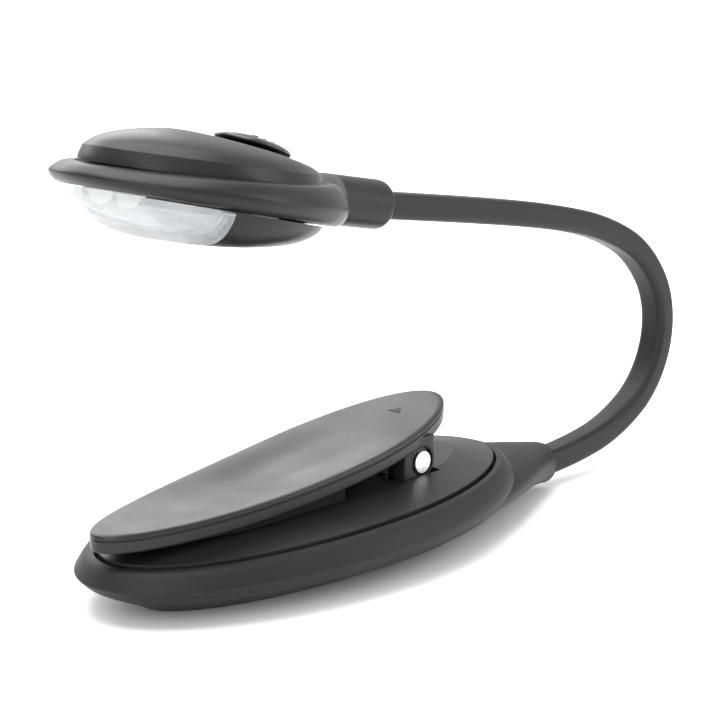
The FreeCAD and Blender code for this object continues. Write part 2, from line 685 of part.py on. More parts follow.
def make_top_cover(gap, seat):
    """Top cover with the switch's dish and slot."""
    skin = size("dome_skin")
    cover = dome_solid(0).fuse(stack([dome_egg(gap, seat + 0.05), dome_egg(gap, seat + 0.8)]))
    throat = stack([dome_egg(skin + gap, seat - 1), dome_egg(skin, seat + 2)])
    cover = cover.cut(dome_solid(skin).fuse(throat.cut(above_slope(-skin))))
    travel = size("switch_travel")
    half_width = size("stem_half_width") + gap
    slot = block(-size("stem_half_length") - gap, size("stem_half_length") + travel + gap,
                 -half_width, half_width, -5, 5)
    slot.Placement = slope_place(size("knob_x"))
    radius = size("dish_radius")
    dish = Part.makeSphere(radius)
    dish.Placement = slope_place(size("knob_x") + travel / 2 + 1.0, radius - size("dish_depth"))
    cover = cover.cut(slot).cut(dish.common(above_slope(-1)))
    shaped("head_top_cover", cover, HEAD_PLACE)


def make_knob():
    """Sliding knob of the switch with three grip marks and a stem through the cover."""
    half = size("knob_half_length")
    thick = size("knob_thick")
    levels = ((0.0, 0.7), (0.3, 0.1), (0.6, 0.25), (0.88, 1.2), (1.0, 2.4))
    knob = stack([egg(0, half - inset, half - inset, size("knob_half_width") - inset, share * thick)
                  for share, inset in levels])
    mark = size("grip_mark_width") / 2
    reach = size("grip_mark_half_length")
    for step in (-1, 0, 1):
        middle = step * size("grip_mark_pitch")
        knob = knob.cut(block(middle - mark, middle + mark, -reach, reach,
                              thick - size("grip_mark_depth"), thick + 1))
    float_z = size("knob_float")
    stem = block(-size("stem_half_length"), size("stem_half_length"), -size("stem_half_width"),
                 size("stem_half_width"), -float_z - size("dome_skin") - size("stem_below"), 0.3)
    shaped("switch_knob", knob.fuse(stem), HEAD_PLACE.multiply(slope_place(size("knob_x"), float_z)))


def make_underside(gap):
    """Clear lens, reflector and battery door."""
    split = size("lens_rear_x")
    wall = size("lens_wall")
    pod = pod_solid(0)
    core = pod_solid(wall)
    nose = block(-BIG, split, -BIG, BIG, -BIG, BIG)
    inside = core.common(block(-BIG, split - wall, -BIG, BIG, -BIG, BIG))
    shaped("lens", pod.common(nose).cut(inside), HEAD_PLACE)
    door = pod.common(block(split + gap, BIG, -BIG, BIG, -BIG, BIG))
    room = core.common(block(split + gap + wall, BIG, -BIG, BIG, -BIG, BIG))
    shaped("battery_door", door.cut(room), HEAD_PLACE)
    outline = dome_egg(size("ring_opening_inset") + gap, size("head_ring_low") + 1.0)
    plate = Part.Face(outline).extrude(Vector(0, 0, size("reflector_thick"))).common(nose)
    for y in (-size("led_spacing") / 2, size("led_spacing") / 2):
        plate = plate.cut(rod(size("led_radius") + gap, 10, Vector(size("led_x"), y, -5), UP))
    shaped("reflector_plate", plate, HEAD_PLACE)


def make_electrics():
    """Board, LEDs, cells, contact, switch body and resistor inside the head."""
    cell_x = size("cell_x")
    cell_low = size("cell_floor_gap") + size("lens_wall") - size("pod_depth")
    board_z = cell_low + 2 * size("cell_thick") + 0.45
    board_top = board_z + size("board_thick")
    for number in (1, 2):
        z = cell_low + (number - 1) * (size("cell_thick") + 0.02)
        place = HEAD_PLACE.multiply(Placement(Vector(cell_x, 0, z), Rotation()))
        keep(primitive("Cylinder", f"coin_cell_{number}", place, Radius="Sizes.cell_radius",
                       Height="Sizes.cell_thick"), f"coin_cell_{number}")
    outline = dome_egg(size("ring_opening_inset") + size("part_gap"), board_z)
    shaped("circuit_board", Part.Face(outline).extrude(Vector(0, 0, size("board_thick"))), HEAD_PLACE)
    contact_place = Placement(Vector(cell_x, 0, board_z - size("contact_thick") - 0.05), Rotation())
    keep(primitive("Cylinder", "battery_contact", HEAD_PLACE.multiply(contact_place),
                   Radius="Sizes.contact_radius", Height="Sizes.contact_thick"), "battery_contact")
    drop = size("led_drop")
    for number, side in ((1, -1), (2, 1)):
        base = Vector(size("led_x"), side * size("led_spacing") / 2, -drop)
        led = rod(size("led_radius"), drop + board_z, base, UP)
        shaped(f"led_{number}", led.fuse(Part.makeSphere(size("led_radius"), base)), HEAD_PLACE)
    front_x = size("knob_x") - size("stem_half_length") - 1.0
    rear_x = size("knob_x") + size("stem_half_length") + size("switch_travel") + 1.0
    body_top = slope_z(rear_x) - size("dome_skin") - size("switch_body_gap")
    half_width = size("switch_body_half_width")
    housing = block(front_x, rear_x, -half_width, half_width, board_top, body_top)
    shaped("switch_body", housing, HEAD_PLACE)
    chip_place = Placement(Vector(size("resistor_x"), -size("resistor_width") / 2, board_top), Rotation())
    keep(primitive("Box", "led_resistor", HEAD_PLACE.multiply(chip_place), Length="Sizes.resistor_length",
                   Width="Sizes.resistor_width", Height="Sizes.resistor_height"), "led_resistor")


make_base()
make_arm()
make_neck()
make_head()
doc.recompute()

problems = []
for thing in doc.Objects:
    if {"Invalid", "Error"} & set(thing.State):
        problems.append(f"{thing.Label}: state {thing.State}")
for node in NODES:
    if node.Shape.isNull() or not node.Shape.isValid() or not node.Shape.Solids:
        problems.append(f"{node.Label}: shape is null, invalid or has no solid")
if problems:
    raise SystemExit("\n".join(problems))

os.makedirs("parts", exist_ok=True)
for node in NODES:
    node.Shape.exportStep(f"parts/{node.Label}.step")
    box = node.Shape.BoundBox
    print(f"{node.Label:20s} solids {len(node.Shape.Solids)} volume {node.Shape.Volume:9.2f}"
          f" x {box.XMin:7.2f} {box.XMax:7.2f} z {box.ZMin:6.2f} {box.ZMax:6.2f}")
print(len(NODES), "nodes; head at", HEAD_AT, "heading", round(HEAD_HEADING, 2), "pin z", round(PIN_Z, 2))
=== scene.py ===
"""Looks of the clip-on reading lamp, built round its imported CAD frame. Sizes are in millimetres."""

import math

import bmesh
import bpy
from mathutils import Matrix, Vector


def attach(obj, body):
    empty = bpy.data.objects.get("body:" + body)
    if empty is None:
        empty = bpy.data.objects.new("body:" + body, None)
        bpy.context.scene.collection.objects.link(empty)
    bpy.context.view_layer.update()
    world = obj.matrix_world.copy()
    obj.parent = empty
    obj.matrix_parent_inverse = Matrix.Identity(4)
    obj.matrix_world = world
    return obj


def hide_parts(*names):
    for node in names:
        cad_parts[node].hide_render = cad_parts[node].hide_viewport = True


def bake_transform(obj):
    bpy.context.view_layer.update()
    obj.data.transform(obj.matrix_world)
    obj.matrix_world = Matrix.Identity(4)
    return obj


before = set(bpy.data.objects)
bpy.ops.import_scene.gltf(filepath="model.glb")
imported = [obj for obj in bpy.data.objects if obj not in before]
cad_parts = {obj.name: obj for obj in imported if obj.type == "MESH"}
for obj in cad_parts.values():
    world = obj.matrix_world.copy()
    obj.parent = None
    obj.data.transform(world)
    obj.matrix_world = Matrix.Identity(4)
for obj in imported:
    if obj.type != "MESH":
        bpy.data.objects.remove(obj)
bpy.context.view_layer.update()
MM = 0.001
SIDES = 120
TINY = 1e-6

# base: an egg in plan, its tip towards -X
BASE_X, BASE_FRONT, BASE_REAR, BASE_HALF = 5.0, 39.8, 35.5, 19.2
DECK_TILT = math.radians(2.2)
RING_TOP, RING_LIP, TUCK = 8.6, 2.7, 5.2
COLLAR_X, COLLAR_Z, COLLAR_R = 53.5, 3.75, 3.1
# clip arm
ARM_X, ARM_FRONT, ARM_REAR, ARM_HALF = 5.6, 40.0, 23.5, 9.5
ARM_TIP_Z, ARM_SLOPE, ARM_CURVE, HOLLOW = 11.8, 0.026, 0.0014, 0.75
HOLLOW_X, HOLLOW_LONG = -7.0, 17.0
PIN_X, PIN_Z, LUG_OUT, LUG_THICK = 17.6, 12.426, 8.3, 2.0
LUG_RADIUS, LUG_FRONT, LUG_TOP, LUG_BORE = 2.5, 3.6, 3.4, 1.56
MARK_X, MARK_TIP_X, MARK_MIDDLE_X, MARK_HALF = 20.9, 22.4, 21.4, 1.1
# neck
NECK_LENGTH, NECK_START, NECK_TURN, NECK_AT, NECK_SPREAD, LINKS = 110.6, 2.2, 168.8, 35.4, 18.25, 10
NECK_WIDE, NECK_DEEP, NECK_CORNER, NECK_GRIP = 4.4, 3.7, 1.1, 5.0
BLEND_REACH = 3.2
# head, in its own frame: origin at the collar's mouth, nose towards -X
HEAD_X, HEAD_FRONT, HEAD_REAR, HEAD_HALF = -34.6, 20.0, 23.0, 16.4
HEAD_LOW, HEAD_TOP, LOW_TILT, TOP_TILT, HEAD_PITCH = -2.6, 1.6, -2.3, 2.0, 2.4
BARREL_R, BARREL_LONG = 3.4, 9.6
DOME_INSET, DOME_REAR, SLOPE_X, PEAK_Z, SLOPE = 3.3, 19.0, -36.5, 6.6, math.radians(9.75)
POD_INSET, POD_DEPTH, POD_REAR, POD_TILT, LENS_REAR, WALL, GAP = 2.6, 6.8, 17.5, 4.5, -41.5, 1.0, 0.15
KNOB_X, KNOB_LONG, KNOB_WIDE, KNOB_FLOAT = -25.6, 5.6, 4.9, 0.45
DISH_X, DISH_LONG, DISH_WIDE, DISH_DEEP = KNOB_X + 2.2, 8.0, 6.9, 0.5
CREASE_EASE, CAP_LIMIT, NOSE_BACK = 0.35, 11.6, 6.5
BAR_PITCH, BAR_HALF, BAR_REACH = 1.6, 0.28, 2.1
LED_X, LED_Y = -47.9, 2.5
# camera, aimed at a point in metres
VIEW_TURN, VIEW_RISE, VIEW_AWAY = math.radians(-47), math.radians(13), 0.3547
VIEW_AT = (0.014, 0, 0.026)


# ---------------------------------------------------------------- small geometry helpers
def lerp(a, b, share):
    return a + (b - a) * share


def smooth(low, high, value):
    share = min(max((value - low) / (high - low), 0.0), 1.0)
    return share * share * (3 - 2 * share)


def rounded(points, radius, steps=5):
    """Polyline with its corners eased by short curves."""
    eased = [points[0]]
    for before, corner, after in zip(points, points[1:], points[2:]):
        back, ahead = math.dist(before, corner), math.dist(corner, after)
        reach_in = min(radius, back * 0.48) / max(back, 1e-9)
        reach_out = min(radius, ahead * 0.48) / max(ahead, 1e-9)
        start = [lerp(c, b, reach_in) for b, c in zip(before, corner)]
        end = [lerp(c, a, reach_out) for a, c in zip(after, corner)]
        for step in range(steps + 1):
            t = step / steps
            eased.append(tuple(lerp(lerp(s, c, t), lerp(c, e, t), t) for s, c, e in zip(start, corner, end)))
    eased.append(points[-1])
    return eased


def refined(points, spacing):
    """Polyline with long runs cut into short ones."""
    fine = [points[0]]
    for low, high in zip(points, points[1:]):
        count = max(1, math.ceil(math.dist(low, high) / spacing))
        fine += [tuple(lerp(a, b, (i + 1) / count) for a, b in zip(low, high)) for i in range(count)]
    return fine


def egg(middle, front, rear, half, height, tilt=0.0, pivot=0.0):
    """Closed outline of two half ellipses, leaning by tilt about the pivot."""
    outline = []
    for side in range(SIDES):
        turn = 2 * math.pi * side / SIDES
        x = middle + (rear if math.cos(turn) > 0 else front) * math.cos(turn)
        dx = x - pivot
        outline.append(Vector((pivot + dx * math.cos(tilt), half * math.sin(turn), height + dx * math.sin(tilt))))
    return outline


def oval(x, half_width, half_height, centre_z):
    """Closed outline of an ellipse across X, starting at +Y."""
    outline = []
    for side in range(SIDES):
        turn = 2 * math.pi * side / SIDES
        outline.append(Vector((x, half_width * math.cos(turn), centre_z + half_height * math.sin(turn))))
    return outline


def loft(name, loops, material, place=None, ring=False, crease=38.0):
    """Skin grown loop by loop from a circle: each new loop is extruded from the one before."""
    grid = bmesh.new()
    order = grid.verts.layers.int.new("order")
    verts = bmesh.ops.create_circle(grid, cap_ends=False, segments=len(loops[0]), radius=1.0)["verts"]
    for index, vert in enumerate(verts):
        vert[order] = index
        vert.co = loops[0][index]
    first = edges = list(grid.edges)
    for loop in loops[1:]:
        grown = bmesh.ops.extrude_edge_only(grid, edges=edges)["geom"]
        fresh = {item for item in grown if isinstance(item, bmesh.types.BMVert)}
        for vert in fresh:
            vert.co = loop[vert[order]]
        edges = [item for item in grown if isinstance(item, bmesh.types.BMEdge)
                 and item.verts[0] in fresh and item.verts[1] in fresh]
    if ring:
        bmesh.ops.bridge_loops(grid, edges=first + edges)
    else:
        for rim in (first, edges):
            bmesh.ops.edgeloop_fill(grid, edges=rim)
    return finished(name, grid, material, place, crease)


def finished(name, grid, material, place=None, crease=38.0):
    """Mesh object from a grid in millimetres: placed, scaled to metres, shaded smooth."""
    bmesh.ops.recalc_face_normals(grid, faces=grid.faces)
    for face in grid.faces:
        face.smooth = True
    if place is not None:
        bmesh.ops.transform(grid, matrix=place, verts=grid.verts)
    bmesh.ops.scale(grid, vec=(MM, MM, MM), verts=grid.verts)
    mesh = bpy.data.meshes.new(name)
    grid.to_mesh(mesh)
    grid.free()
    mesh.set_sharp_from_angle(angle=math.radians(crease))
    mesh.materials.append(material)
    thing = bpy.data.objects.new(name, mesh)
    bpy.context.scene.collection.objects.link(thing)
    return thing


def add_box(grid, low, high, bevel=0.0):
    """Box between two corners, its edges bevelled."""
    verts = bmesh.ops.create_cube(grid, size=1.0)["verts"]
    for vert in verts:
        vert.co = Vector(lerp(a, b, c + 0.5) for a, b, c in zip(low, high, vert.co))
    if bevel:
        edges = {edge for vert in verts for edge in vert.link_edges}
        bmesh.ops.bevel(grid, geom=list(edges), offset=bevel, segments=3, profile=0.5, affect="EDGES",
                        material=-1)


# ---------------------------------------------------------------- materials
class Value:
    """A socket of a node tree that can be used in sums."""

    def __init__(self, tree, socket):
        self.tree, self.socket = tree, socket

    def _math(self, operation, *others):
        node = self.tree.nodes.new("ShaderNodeMath")
        node.operation = operation
        for place, item in zip(node.inputs, (self,) + others):
            if isinstance(item, Value):
                self.tree.links.new(item.socket, place)
            else:
                place.default_value = item
        return Value(self.tree, node.outputs[0])

    def __add__(self, other):
        return self._math("ADD", other)

    def __mul__(self, other):
        return self._math("MULTIPLY", other)

    def sine(self):
        return self._math("SINE")

    def above(self, other):
        return self._math("GREATER_THAN", other)

    def spread(self, low, high, to_low=0.0, to_high=1.0):
        node = self.tree.nodes.new("ShaderNodeMapRange")
        for place, item in zip(node.inputs[1:5], (low, high, to_low, to_high)):
            place.default_value = item
        self.tree.links.new(self.socket, node.inputs[0])
        return Value(self.tree, node.outputs[0])


class Finish:
    """A material with one main shader and values made from object coordinates."""

    def __init__(self, name, color, roughness, **constants):
        self.material = bpy.data.materials.new(name)
        self.material.use_nodes = True
        self.tree = self.material.node_tree
        self.shader = next(n for n in self.tree.nodes if n.type == "BSDF_PRINCIPLED")
        self.shader.inputs["Base Color"].default_value = (*color, 1)
        self.shader.inputs["Roughness"].default_value = roughness
        for title, value in constants.items():
            self.shader.inputs[title.replace("_", " ")].default_value = value
        self.place = self.tree.nodes.new("ShaderNodeTexCoord").outputs["Object"]
        self.material.diffuse_color = (*color, 1)

    def noise(self, size_mm, detail=3.0, stretch=None):
        node = self.tree.nodes.new("ShaderNodeTexNoise")
        node.inputs["Scale"].default_value = 1.0 / (size_mm * MM)
        node.inputs["Detail"].default_value = detail
        source = self.place
        if stretch is not None:
            mapping = self.tree.nodes.new("ShaderNodeMapping")
            mapping.inputs["Scale"].default_value = stretch
            self.tree.links.new(source, mapping.inputs["Vector"])
            source = mapping.outputs[0]
        self.tree.links.new(source, node.inputs["Vector"])
        return Value(self.tree, node.outputs["Fac"])

    def axis(self, index):
        node = self.tree.nodes.new("ShaderNodeSeparateXYZ")
        self.tree.links.new(self.place, node.inputs[0])
        return Value(self.tree, node.outputs[index])

    def drive(self, title, value):
        self.tree.links.new(value.socket, self.shader.inputs[title])
        return self

    def tint(self, value, low, high):
        """Base colour between two shades."""
        node = self.tree.nodes.new("ShaderNodeMix")
        node.data_type = "RGBA"
        node.inputs[6].default_value = (*low, 1)
        node.inputs[7].default_value = (*high, 1)
        self.tree.links.new(value.socket, node.inputs[0])
        self.tree.links.new(node.outputs[2], self.shader.inputs["Base Color"])
        return self

    def bump(self, value, depth_mm, strength=1.0):
        node = self.tree.nodes.new("ShaderNodeBump")
        node.inputs["Distance"].default_value = depth_mm * MM
        node.inputs["Strength"].default_value = strength
        self.tree.links.new(value.socket, node.inputs["Height"])
        self.tree.links.new(node.outputs[0], self.shader.inputs["Normal"])
        return self


def scaled(color, factor):
    return tuple(min(1.0, part * factor) for part in color)


def plastic(name, color, rough, grain_mm, grain_depth, **constants):
    """Moulded plastic: slight mottling, uneven sheen and a fine grain."""
    finish = Finish(name, color, rough, **constants)
    cloud = finish.noise(9.0, 2.0)
    finish.tint(cloud.spread(0.3, 0.7), scaled(color, 0.88), scaled(color, 1.12))
    finish.drive("Roughness", cloud.spread(0.3, 0.7, rough - 0.04, rough + 0.05)
                 + finish.noise(0.5, 1.0).spread(0.3, 0.7, -0.02, 0.02))
    finish.bump(finish.noise(grain_mm, 2.0), grain_depth)
    return finish.material


def metal(name, color, rough, stretch):
    """Drawn or turned metal with fine lines along one way."""
    finish = Finish(name, color, rough, Metallic=1.0)
    lines = finish.noise(0.35, 3.0, stretch)
    finish.tint(lines.spread(0.3, 0.7), scaled(color, 0.85), scaled(color, 1.08))
    finish.drive("Roughness", lines.spread(0.3, 0.7, rough - 0.06, rough + 0.1))
    finish.bump(lines, 0.01, 0.5)
    return finish.material


SATIN = plastic("satin_black", (0.011, 0.0105, 0.0102), 0.36, 0.22, 0.010, Specular_IOR_Level=0.22)
SHELL = plastic("soft_shell", (0.010, 0.0098, 0.0096), 0.5, 0.30, 0.030, Specular_IOR_Level=0.22)
ARM = plastic("arm_satin", (0.015, 0.0145, 0.014), 0.34, 0.25, 0.008, Specular_IOR_Level=0.28)
HEAD = plastic("head_satin", (0.011, 0.0106, 0.0103), 0.34, 0.25, 0.008, Specular_IOR_Level=0.22)
GLOSS = plastic("gloss_black", (0.007, 0.0069, 0.0068), 0.2, 0.8, 0.004, Coat_Weight=0.15)
RUBBER = plastic("pad_rubber", (0.006, 0.006, 0.006), 0.7, 0.25, 0.030, Specular_IOR_Level=0.2)
NECK = plastic("neck_rubber", (0.010, 0.0098, 0.0096), 0.42, 0.30, 0.015, Specular_IOR_Level=0.22)
WHITE = plastic("reflector_white", (0.86, 0.86, 0.85), 0.25, 1.0, 0.004)
DARK = plastic("recess_black", (0.004, 0.004, 0.004), 0.6, 0.3, 0.01)
STEEL = metal("screw_steel", (0.55, 0.55, 0.55), 0.32, (1.0, 1.0, 0.15))
PIN = metal("pin_steel", (0.86, 0.85, 0.83), 0.2, (1.0, 0.1, 1.0))
CELL = metal("cell_nickel", (0.68, 0.67, 0.64), 0.26, (0.2, 1.0, 1.0))
BRASS = metal("contact_brass", (0.78, 0.58, 0.26), 0.28, (0.3, 1.0, 1.0))


def make_clear(name, color, rough, alpha):
    """Clear moulded plastic that light mostly passes through."""
    finish = Finish(name, color, rough, Transmission_Weight=0.3, IOR=1.45)
    haze = finish.noise(4.0, 2.0)
    finish.drive("Roughness", haze.spread(0.3, 0.7, rough - 0.02, rough + 0.06))
    finish.drive("Alpha", haze.spread(0.3, 0.7, alpha - 0.05, alpha + 0.05))
    return finish.material


LENS = make_clear("lens_clear", (0.62, 0.65, 0.67), 0.08, 0.42)
RESIN = make_clear("led_resin", (0.96, 0.95, 0.86), 0.1, 0.7)


def make_board():
    """Circuit board: solder mask with faint tracks."""
    finish = Finish("board_green", (0.03, 0.16, 0.07), 0.35)
    track = (finish.axis(1) * 900.0).sine().above(0.6)
    finish.tint(track, (0.03, 0.15, 0.06), (0.07, 0.26, 0.10))
    finish.bump(track, 0.03)
    return finish.material


BOARD = make_board()


# ---------------------------------------------------------------- base
def base_egg(inset, height, lean=1.0):
    return egg(BASE_X, BASE_FRONT - inset, BASE_REAR - inset, BASE_HALF - inset, height, DECK_TILT * lean)


def deck_z(x):
    return RING_TOP + x * math.tan(DECK_TILT)


def make_ring():
    """Soft outer shell: a closed ring in section, with the collar's taper grown from its rear."""
    profile = rounded([(TUCK - 0.4, 2.05, 0.0), (TUCK * 0.3, 3.85, 0.25), (0.0, 5.6, 0.5), (0.1, 6.5, 1.0),
                       (1.5, RING_TOP - 0.05, 1.0), (RING_LIP, RING_TOP, 1.0)], 1.3, 6)
    inner = [(RING_LIP + 0.12, RING_TOP - 0.15, 1.0), (RING_LIP + 0.12, 6.4, 0.8),
             (TUCK * 0.3 + RING_LIP, 3.85, 0.25), (TUCK + RING_LIP, 2.05, 0.0)]
    shell = loft("soft_ring", [base_egg(*level) for level in profile + inner], SHELL, ring=True)
    share = 0.6
    start = BASE_X + share * BASE_REAR
    half = BASE_HALF * math.sqrt(1 - share ** 2) - 0.5
    top = deck_z(start) - 0.35
    sections = []
    steps = 26
    for step in range(steps + 1):
        t = step / steps
        x = lerp(start, COLLAR_X, t)
        wide = lerp(half, COLLAR_R, t) + 1.3 * math.sin(math.pi * t) * (1 - t)
        high = lerp(top, COLLAR_Z + COLLAR_R, t) + 0.75 * math.sin(math.pi * t)
        low = lerp(2.3, COLLAR_Z - COLLAR_R, t) + 0.45 * math.sin(math.pi * t)
        sections.append(oval(x, wide, (high - low) / 2, (high + low) / 2))
    lip = [(COLLAR_X - 0.02, COLLAR_R - 0.1), (COLLAR_X + 0.05, COLLAR_R - 0.35), (COLLAR_X, COLLAR_R - 0.6)]
    sections[-1] = oval(COLLAR_X - 0.35, COLLAR_R, COLLAR_R, COLLAR_Z)
    sections += [oval(x, r, r, COLLAR_Z) for x, r in lip]
    collar = loft("base_collar", sections, SHELL)
    for piece in (shell, collar):
        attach(piece, "base")
    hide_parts("base_ring")


# ---------------------------------------------------------------- clip arm
def arm_z(x, drop=0.0):
    run = x - (ARM_X - ARM_FRONT)
    return ARM_TIP_Z + ARM_SLOPE * run + ARM_CURVE * run * run - drop


def arm_loop(inset, drop, shrink=1.0, hollow=0.0):
    """Outline of the arm that follows its curve: moved in by inset, or shrunk towards its middle."""
    flat = egg(ARM_X, (ARM_FRONT - inset) * shrink, (ARM_REAR - inset) * shrink, (ARM_HALF - inset) * shrink, 0.0)
    loop = []
    for point in flat:
        along = (point.x - ARM_X) / (ARM_REAR if point.x > ARM_X else ARM_FRONT)
        inward = 1.0 - min(1.0, math.hypot(along, point.y / ARM_HALF))
        dip = hollow * math.exp(-((point.x - HOLLOW_X) / HOLLOW_LONG) ** 2) * smooth(0.02, 0.75, inward)
        loop.append(Vector((point.x, point.y, arm_z(point.x, drop + dip))))
    return loop


def make_arm():
    """Clip arm: rolled rim with a bead line, hollowed top, thumb end and hinge lugs."""
    loops = [arm_loop(1.35, 1.4 + HOLLOW, share, HOLLOW) for share in (0.02, 0.3, 0.6, 0.85, 1.0)]
    side = rounded([(1.3, 1.5), (1.3, 2.35), (0.25, 2.4), (0.0, 2.2), (0.0, 0.86)], 0.2, 4)
    bead = rounded([(0.0, 0.86), (0.16, 0.80), (0.16, 0.66), (0.0, 0.60), (0.0, 0.36), (0.12, 0.1), (0.5, 0.0)],
                   0.1, 3)
    loops += [arm_loop(*level) for level in side + bead[1:]]
    rows = 26
    for row in range(1, rows):
        loops.append(arm_loop(0.5, 0.0, 1 - row / rows, HOLLOW))
    plate = loft("clip_plate", loops, ARM, crease=50.0)
    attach(plate, "clip_arm")
    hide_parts("clip_arm")
    for name, side in (("near", -1), ("far", 1)):
        lug = loft(f"lug_{name}", lug_loops(side), ARM)
        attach(lug, "clip_arm")
    mark = loft("arm_mark", mark_loops(), DARK)
    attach(mark, "clip_arm")


def lug_loops(side):
    """Lug with its rounded foot and the recess round the pin."""
    def outline(shrink, y):
        loop = []
        for index in range(SIDES):
            turn = 2 * math.pi * index / SIDES
            cosine, sine = math.cos(turn), math.sin(turn)
            reach = LUG_RADIUS
            if cosine < 0:
                tall = LUG_RADIUS if sine < 0 else LUG_TOP
                reach = min(LUG_FRONT / max(-cosine, TINY), tall / max(abs(sine), TINY))
            elif sine > 0:
                reach = min(LUG_RADIUS / max(cosine, TINY), LUG_TOP / max(sine, TINY))
            x = PIN_X + (reach - shrink) * cosine
            z = PIN_Z + (reach - shrink) * sine
            loop.append(Vector((x, side * y, min(z, arm_z(x, 0.7)))))
        return loop

    def hole(radius, y):
        return [Vector((PIN_X + radius * math.cos(2 * math.pi * i / SIDES), side * y,
                        PIN_Z + radius * math.sin(2 * math.pi * i / SIDES))) for i in range(SIDES)]

    inner = LUG_OUT - LUG_THICK
    return [hole(LUG_BORE, inner), outline(0.0, inner), outline(0.0, LUG_OUT - 0.25),
            outline(0.08, LUG_OUT - 0.08), outline(0.25, LUG_OUT), hole(2.25, LUG_OUT), hole(2.1, LUG_OUT - 0.06), hole(2.05, LUG_OUT - 0.5),
            hole(LUG_BORE, LUG_OUT - 0.5)]


def mark_loops():
    """Small raised triangle near the thumb end."""
    corners = [Vector((MARK_X, MARK_HALF)), Vector((MARK_TIP_X, 0.0)), Vector((MARK_X, -MARK_HALF))]
    loops = []
    for lift, shrink in ((-0.1, 0.0), (0.03, 0.0), (0.05, 0.25)):
        loop = []
        for index in range(24):
            spot = index / 8
            low = corners[int(spot) % 3]
            high = corners[(int(spot) + 1) % 3]
            point = low.lerp(high, spot % 1)
            point = point.lerp(Vector((MARK_MIDDLE_X, 0.0)), shrink)
            loop.append(Vector((point.x, point.y, arm_z(point.x, -lift))))
        loops.append(loop)
    return loops


# ---------------------------------------------------------------- neck
def heading(distance):
    swing = math.tanh((distance - NECK_AT) / NECK_SPREAD)
    start = math.tanh(-NECK_AT / NECK_SPREAD)
    return math.radians(NECK_START + NECK_TURN * (swing - start) / (1 - start))


STEP = NECK_LENGTH / LINKS


def neck_path():
    """Ends of the links: points and headings."""
    point = Vector((COLLAR_X, 0, COLLAR_Z))
    path = [(point, heading(0))]
    for link in range(LINKS):
        low, high = heading(link * STEP), heading((link + 1) * STEP)
        turn = high - low
        chord = STEP * math.sin(turn / 2) / (turn / 2)
        middle = (low + high) / 2
        point = point + Vector((math.cos(middle) * chord, 0, math.sin(middle) * chord))
        path.append((point, high))
    return path


PATH = neck_path()


def on_neck(distance):
    """Point and heading on the neck, following each link's arc; it runs straight past both ends."""
    if distance <= 0 or distance >= NECK_LENGTH:
        point, angle = PATH[0] if distance <= 0 else PATH[-1]
        beyond = distance if distance <= 0 else distance - NECK_LENGTH
        return point + Vector((math.cos(angle), 0, math.sin(angle))) * beyond, angle
    link = min(int(distance / STEP), LINKS - 1)
    start, low = PATH[link]
    high = PATH[link + 1][1]
    share = (distance - link * STEP) / STEP
    angle = lerp(low, high, share)
    turn = angle - low
    chord = STEP * share * (math.sin(turn / 2) / (turn / 2) if turn > 1e-9 else 1.0)
    middle = (low + angle) / 2
    return start + Vector((math.cos(middle) * chord, 0, math.sin(middle) * chord)), angle


def neck_loop(distance, shrink=0.0):
    """Rounded rectangle across the neck."""
    point, angle = on_neck(distance)
    wide, deep = NECK_WIDE / 2 - shrink, NECK_DEEP / 2 - shrink
    corner = max(NECK_CORNER - shrink, 0.1)
    normal = Vector((-math.sin(angle), 0, math.cos(angle)))
    loop = []
    quarter = 12
    for index in range(4 * quarter):
        side, step = divmod(index, quarter)
        turn = math.pi / 2 * (side + step / (quarter - 1))
        sy = 1 if side in (0, 3) else -1
        sz = 1 if side in (0, 1) else -1
        y = sy * (wide - corner) + corner * math.cos(turn)
        z = sz * (deep - corner) + corner * math.sin(turn)
        loop.append(point + Vector((0, 1, 0)) * y + normal * z)
    return loop


def make_neck():
    """Rubber skin of the neck, one stretch across each hinge and a gripped end at each collar."""
    bodies = ["base"] + [f"neck_link_{link:02d}" for link in range(2, LINKS)] + ["head"]
    cuts = [-NECK_GRIP] + [STEP * (link + 0.5) for link in range(LINKS)] + [NECK_LENGTH + NECK_GRIP]
    rows = 22
    for index, (low, high) in enumerate(zip(cuts, cuts[1:])):
        loops = [neck_loop(lerp(low, high, row / rows)) for row in range(rows + 1)]
        stretch = loft(f"neck_skin_{index:02d}", loops, NECK, crease=60.0)
        if index in (0, LINKS):
            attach(stretch, bodies[0] if index == 0 else bodies[-1])
            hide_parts("neck_sleeve_01" if index == 0 else f"neck_sleeve_{LINKS}")
            continue
        hinge = STEP * index
        start = on_neck(hinge - BLEND_REACH)[0] * MM
        end = on_neck(hinge + BLEND_REACH)[0] * MM
        bodies[index - 1]
        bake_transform(stretch)
        if index < LINKS - 1:
            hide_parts(f"neck_sleeve_{index + 1:02d}")


# ---------------------------------------------------------------- head
HEAD_AT, HEAD_ANGLE = PATH[-1]
HEAD_TURN = math.pi - HEAD_ANGLE + math.radians(HEAD_PITCH)
HEAD_PLACE = Matrix.Translation(HEAD_AT) @ Matrix.Rotation(HEAD_TURN, 4, "Y")


def head_egg(inset, height, tilt=0.0):
    lean = math.radians(tilt)
    return egg(HEAD_X, HEAD_FRONT - inset, HEAD_REAR - inset, HEAD_HALF - inset, height, lean, HEAD_X)


def dome_egg(inset, height):
    """Outline of the top cover; past the narrowest inset it shrinks evenly to its middle."""
    front = HEAD_FRONT - DOME_INSET
    half = HEAD_HALF - DOME_INSET
    if inset <= CAP_LIMIT:
        return egg(HEAD_X, front - inset, DOME_REAR - inset, half - inset, height)
    share = 1 - (inset - CAP_LIMIT) / 2.0
    reaches = [(reach - CAP_LIMIT) * share for reach in (front, DOME_REAR, half)]
    return egg(HEAD_X, *reaches, height)


def slope_z(x):
    return PEAK_Z - (x - SLOPE_X) * math.tan(SLOPE)


